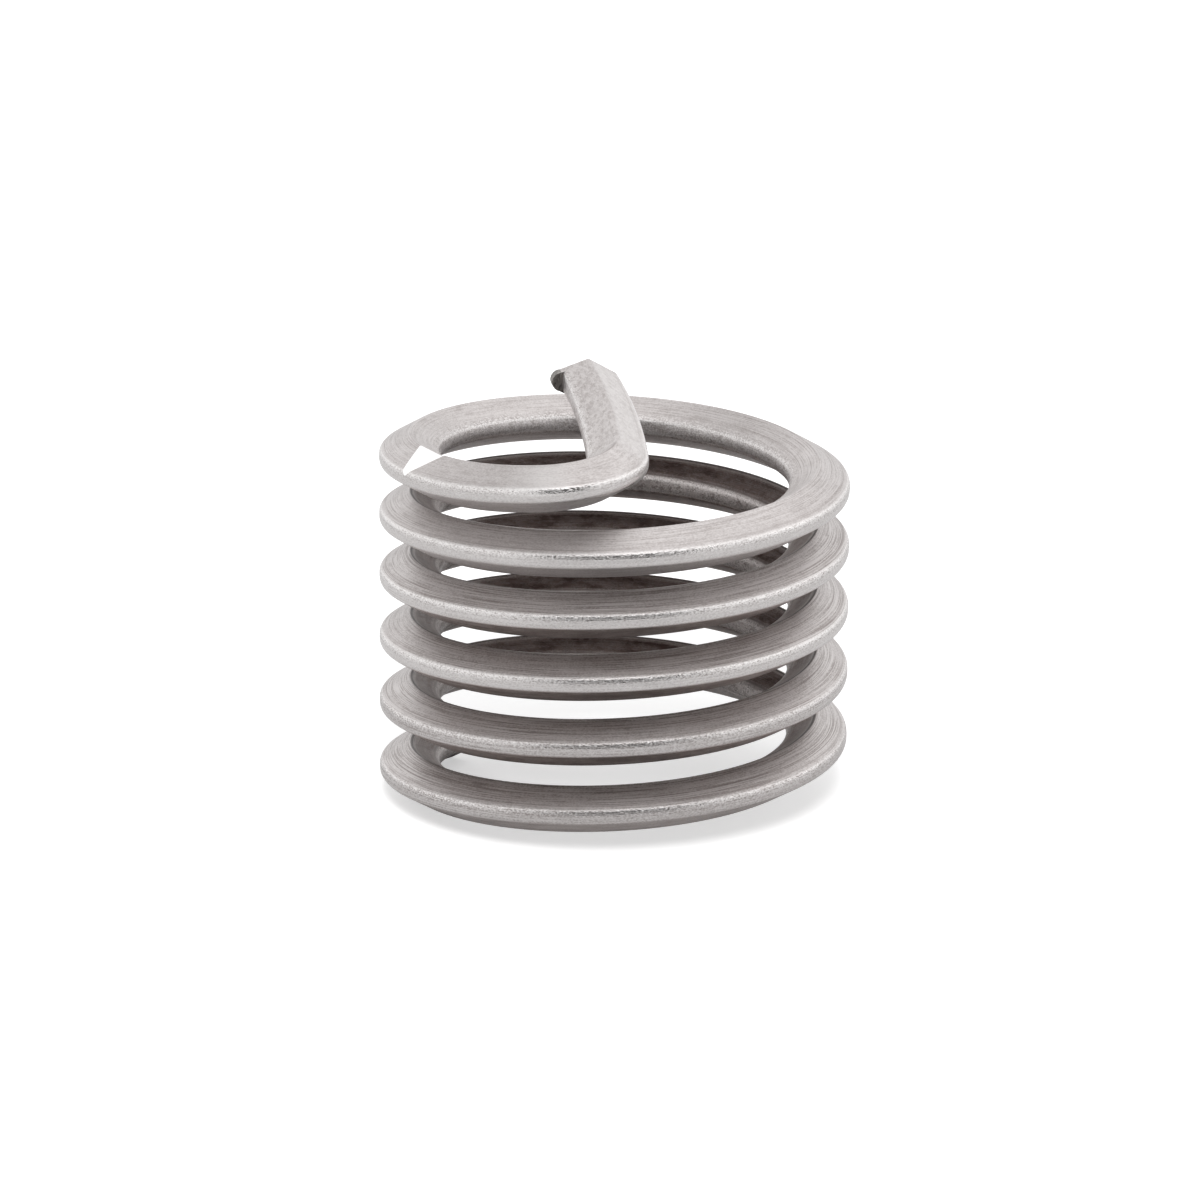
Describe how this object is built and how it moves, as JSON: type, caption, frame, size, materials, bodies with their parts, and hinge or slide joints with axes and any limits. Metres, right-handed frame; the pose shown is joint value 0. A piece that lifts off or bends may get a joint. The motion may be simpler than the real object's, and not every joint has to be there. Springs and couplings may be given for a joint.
{
  "type": "helical thread insert",
  "caption": "Helical wire thread insert: an open right-hand coil of diamond-section wire with a drive tang bent across its top and a break-off notch.",
  "frame": {"origin": "on the coil's axis, level with the lowest point of the wire", "axes": "+Z along the coil's axis towards the tang; +Y the way the tang points across the top; +X completes the frame"},
  "size_m": [0.017, 0.017, 0.0157],
  "materials": {
    "stainless_wire": "cold-rolled stainless wire, fine brush lines along the wire"
  },
  "bodies": {
    "root": {"thread_insert_wire": "stainless_wire"}
  },
  "joints": []
}
